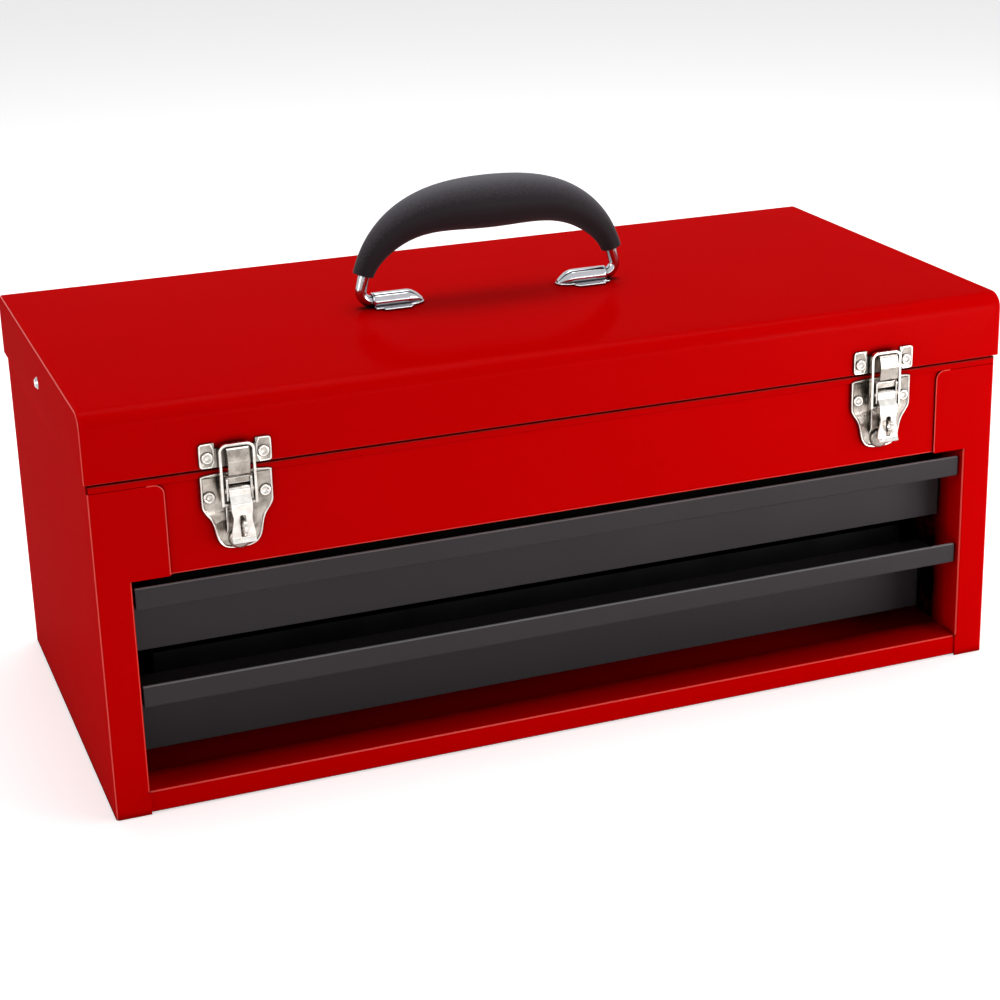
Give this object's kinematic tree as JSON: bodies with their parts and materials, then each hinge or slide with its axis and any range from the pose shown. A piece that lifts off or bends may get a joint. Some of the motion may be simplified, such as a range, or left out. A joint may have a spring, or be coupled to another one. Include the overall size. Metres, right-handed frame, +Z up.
{
  "type": "tool box with drawers",
  "caption": "Portable steel tool box with a hinged lid over a top compartment, a folding carrying handle, draw latches with padlock eyes, and shallow drawers on slides below.",
  "frame": {"origin": "middle of the floor's underside, on the surface the box stands on", "axes": "+X to the box's right as it is seen from the front, along its length; the front with the drawers faces -Y; +Z up, towards the lid"},
  "size_m": [0.5213, 0.2758, 0.289],
  "materials": {
    "red_paint": "gloss red enamel on sheet steel",
    "charcoal_paint": "satin charcoal powder coat",
    "black_paint": "satin black paint",
    "zinc_steel": "bright zinc plated steel",
    "nickel_plate": "brushed nickel plated pressed steel",
    "chrome_plate": "polished chrome plated steel",
    "foam_rubber": "matt black moulded grip"
  },
  "bodies": {
    "case": {"side_panel_left": "red_paint", "side_panel_right": "red_paint", "back_panel": "red_paint", "floor_pan": "red_paint", "front_apron": "red_paint", "compartment_floor": "red_paint", "slide_liner_left": "red_paint", "slide_liner_right": "red_paint", "runner_upper_left": "black_paint", "runner_upper_right": "black_paint", "runner_lower_left": "black_paint", "runner_lower_right": "black_paint", "hinge_leaf_body": "red_paint", "hinge_pin": "zinc_steel", "latch_base_left": "nickel_plate", "latch_base_right": "nickel_plate", "latch_pin_left": "nickel_plate", "latch_pin_right": "nickel_plate", "latch_staple_left": "nickel_plate", "latch_staple_right": "nickel_plate", "latch_base_rivets": "nickel_plate", "stay_body_stud": "zinc_steel"},
    "lid": {"lid_shell": "red_paint", "handle_backing_plate": "zinc_steel", "hinge_leaf_lid": "red_paint", "latch_keeper_left": "nickel_plate", "latch_keeper_right": "nickel_plate", "keeper_rivets": "nickel_plate", "handle_bracket_left": "chrome_plate", "handle_bracket_right": "chrome_plate", "stay_lid_rivet": "chrome_plate"},
    "handle": {"handle_rod": "chrome_plate", "handle_grip": "foam_rubber"},
    "upper_drawer": {"drawer_upper_tray": "charcoal_paint", "drawer_upper_front": "charcoal_paint", "drawer_upper_rail_left": "black_paint", "drawer_upper_rail_right": "black_paint"},
    "lower_drawer": {"drawer_lower_tray": "charcoal_paint", "drawer_lower_front": "charcoal_paint", "drawer_lower_rail_left": "black_paint", "drawer_lower_rail_right": "black_paint"},
    "left_latch_lever": {"latch_lever_left": "nickel_plate"},
    "left_latch_loop": {"latch_loop_left": "nickel_plate"},
    "right_latch_lever": {"latch_lever_right": "nickel_plate"},
    "right_latch_loop": {"latch_loop_right": "nickel_plate"},
    "stay_arm": {"stay_arm": "zinc_steel", "stay_elbow_rivet": "zinc_steel"},
    "stay_link": {"stay_link": "zinc_steel"}
  },
  "joints": [
    {"name": "lid_hinge", "type": "hinge", "parent": "case", "child": "lid", "pos_m": [0, 0.1306, 0.1832], "axis": [-1, 0, 0], "range_deg": [0, 95]},
    {"name": "upper_drawer_slide", "type": "slide", "parent": "case", "child": "upper_drawer", "axis": [0, -1, 0], "range_m": [0, 0.15]},
    {"name": "lower_drawer_slide", "type": "slide", "parent": "case", "child": "lower_drawer", "axis": [0, -1, 0], "range_m": [0, 0.15]},
    {"name": "handle_swing", "type": "hinge", "parent": "lid", "child": "handle", "pos_m": [0, 0, 0.22355], "axis": [1, 0, 0], "range_deg": [-80, 80]},
    {"name": "left_latch_lever_hinge", "type": "hinge", "parent": "case", "child": "left_latch_lever", "pos_m": [-0.184, -0.1316, 0.1723], "axis": [-1, 0, 0], "range_deg": [0, 105]},
    {"name": "left_latch_loop_hinge", "type": "hinge", "parent": "left_latch_lever", "child": "left_latch_loop", "pos_m": [-0.184, -0.1316, 0.165], "axis": [-1, 0, 0], "range_deg": [-147, 0]},
    {"name": "right_latch_lever_hinge", "type": "hinge", "parent": "case", "child": "right_latch_lever", "pos_m": [0.184, -0.1316, 0.1723], "axis": [-1, 0, 0], "range_deg": [0, 105]},
    {"name": "right_latch_loop_hinge", "type": "hinge", "parent": "right_latch_lever", "child": "right_latch_loop", "pos_m": [0.184, -0.1316, 0.165], "axis": [-1, 0, 0], "range_deg": [-147, 0]},
    {"name": "stay_arm_hinge", "type": "hinge", "parent": "case", "child": "stay_arm", "pos_m": [-0.252, 0.102, 0.147], "axis": [-1, 0, 0], "range_deg": [0, 95]},
    {"name": "stay_link_hinge", "type": "hinge", "parent": "stay_arm", "child": "stay_link", "pos_m": [-0.254, -0.0316, 0.1653], "axis": [-1, 0, 0], "range_deg": [-95, 0]}
  ],
  "couplings": [
    {"joint": "left_latch_loop_hinge", "follows": "left_latch_lever_hinge", "ratio": -1.4},
    {"joint": "right_latch_loop_hinge", "follows": "right_latch_lever_hinge", "ratio": -1.4},
    {"joint": "stay_arm_hinge", "follows": "lid_hinge", "ratio": 1},
    {"joint": "stay_link_hinge", "follows": "lid_hinge", "ratio": -1}
  ]
}
